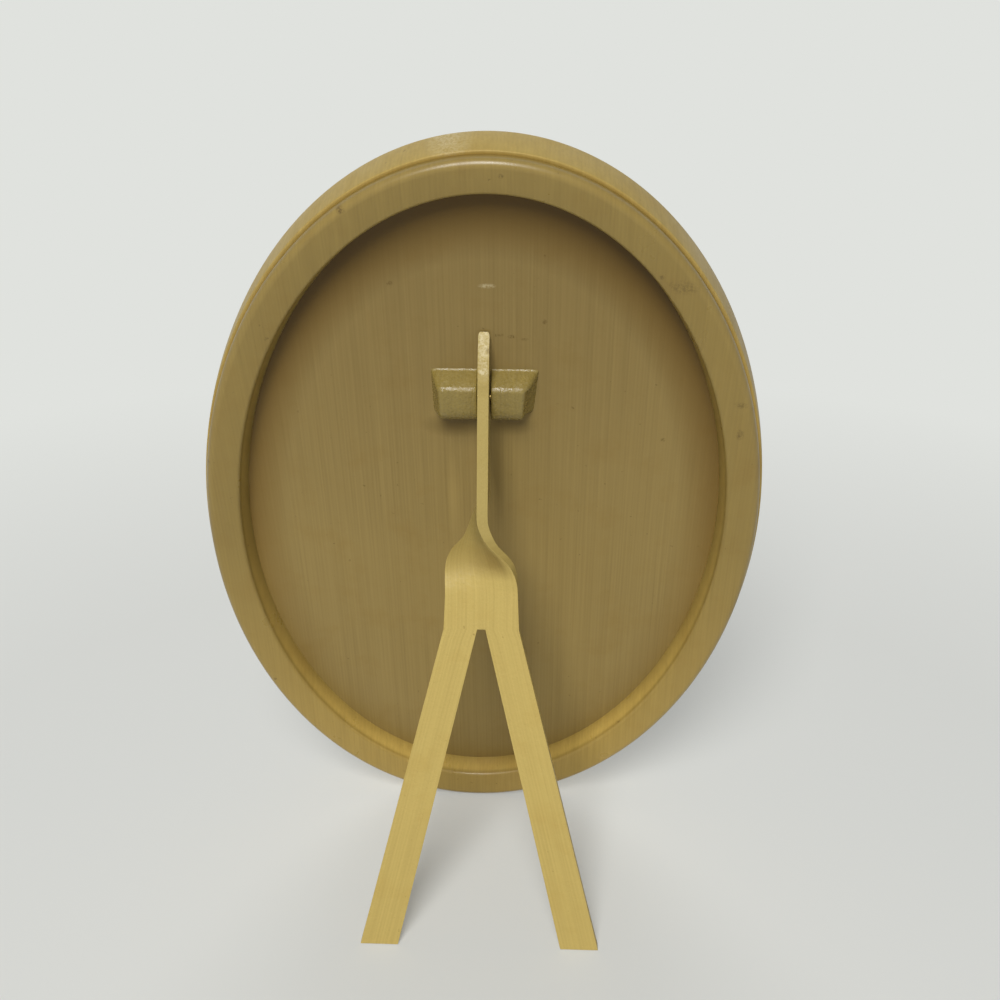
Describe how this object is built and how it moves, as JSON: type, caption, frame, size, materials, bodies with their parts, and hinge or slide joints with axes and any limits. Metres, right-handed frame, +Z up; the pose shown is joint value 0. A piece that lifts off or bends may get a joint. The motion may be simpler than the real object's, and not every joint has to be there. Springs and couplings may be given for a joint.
{
  "type": "oval easel picture frame",
  "caption": "Oval standing picture frame with a convex moulding, glass and a recessed back, held leaning by a forked folding easel leg.",
  "frame": {"origin": "centre of the standing frame's outline in X and Y, at the level of the table it stands on", "axes": "+Z up, the picture faces -Y and leans back 14 degrees, the easel leg stands out toward +Y"},
  "size_m": [0.151, 0.0834, 0.2105],
  "materials": {
    "ivory_moulding": "polished, fine straight grain, yellowed with age",
    "ivory_back": "polished, fine straight grain, yellowed with age",
    "ivory_leg": "polished, fine straight grain, a little paler",
    "pin_wire": "dull drawn wire",
    "glass": "clear flat glass",
    "print_paper": "blank warm paper",
    "card": "plain grey-brown card"
  },
  "bodies": {
    "back_unit": {"back_ring": "ivory_back", "back_panel": "ivory_back", "hinge_lug_left": "ivory_leg", "hinge_lug_right": "ivory_leg", "hinge_pin": "pin_wire"},
    "front_unit": {"front_moulding": "ivory_moulding", "glass_pane": "glass", "photo_print": "print_paper", "backing_card": "card"},
    "leg": {"easel_leg": "ivory_leg"}
  },
  "joints": [
    {"name": "leg_fold", "type": "hinge", "parent": "back_unit", "child": "leg", "pos_m": [-0.00155, 0.00574, 0.14528], "axis": [-1, 0, 0], "range_deg": [0, 24.7]},
    {"name": "front_pull_off", "type": "slide", "parent": "back_unit", "child": "front_unit", "axis": [0, -0.9703, 0.2419], "range_m": [0, 0.02]}
  ]
}
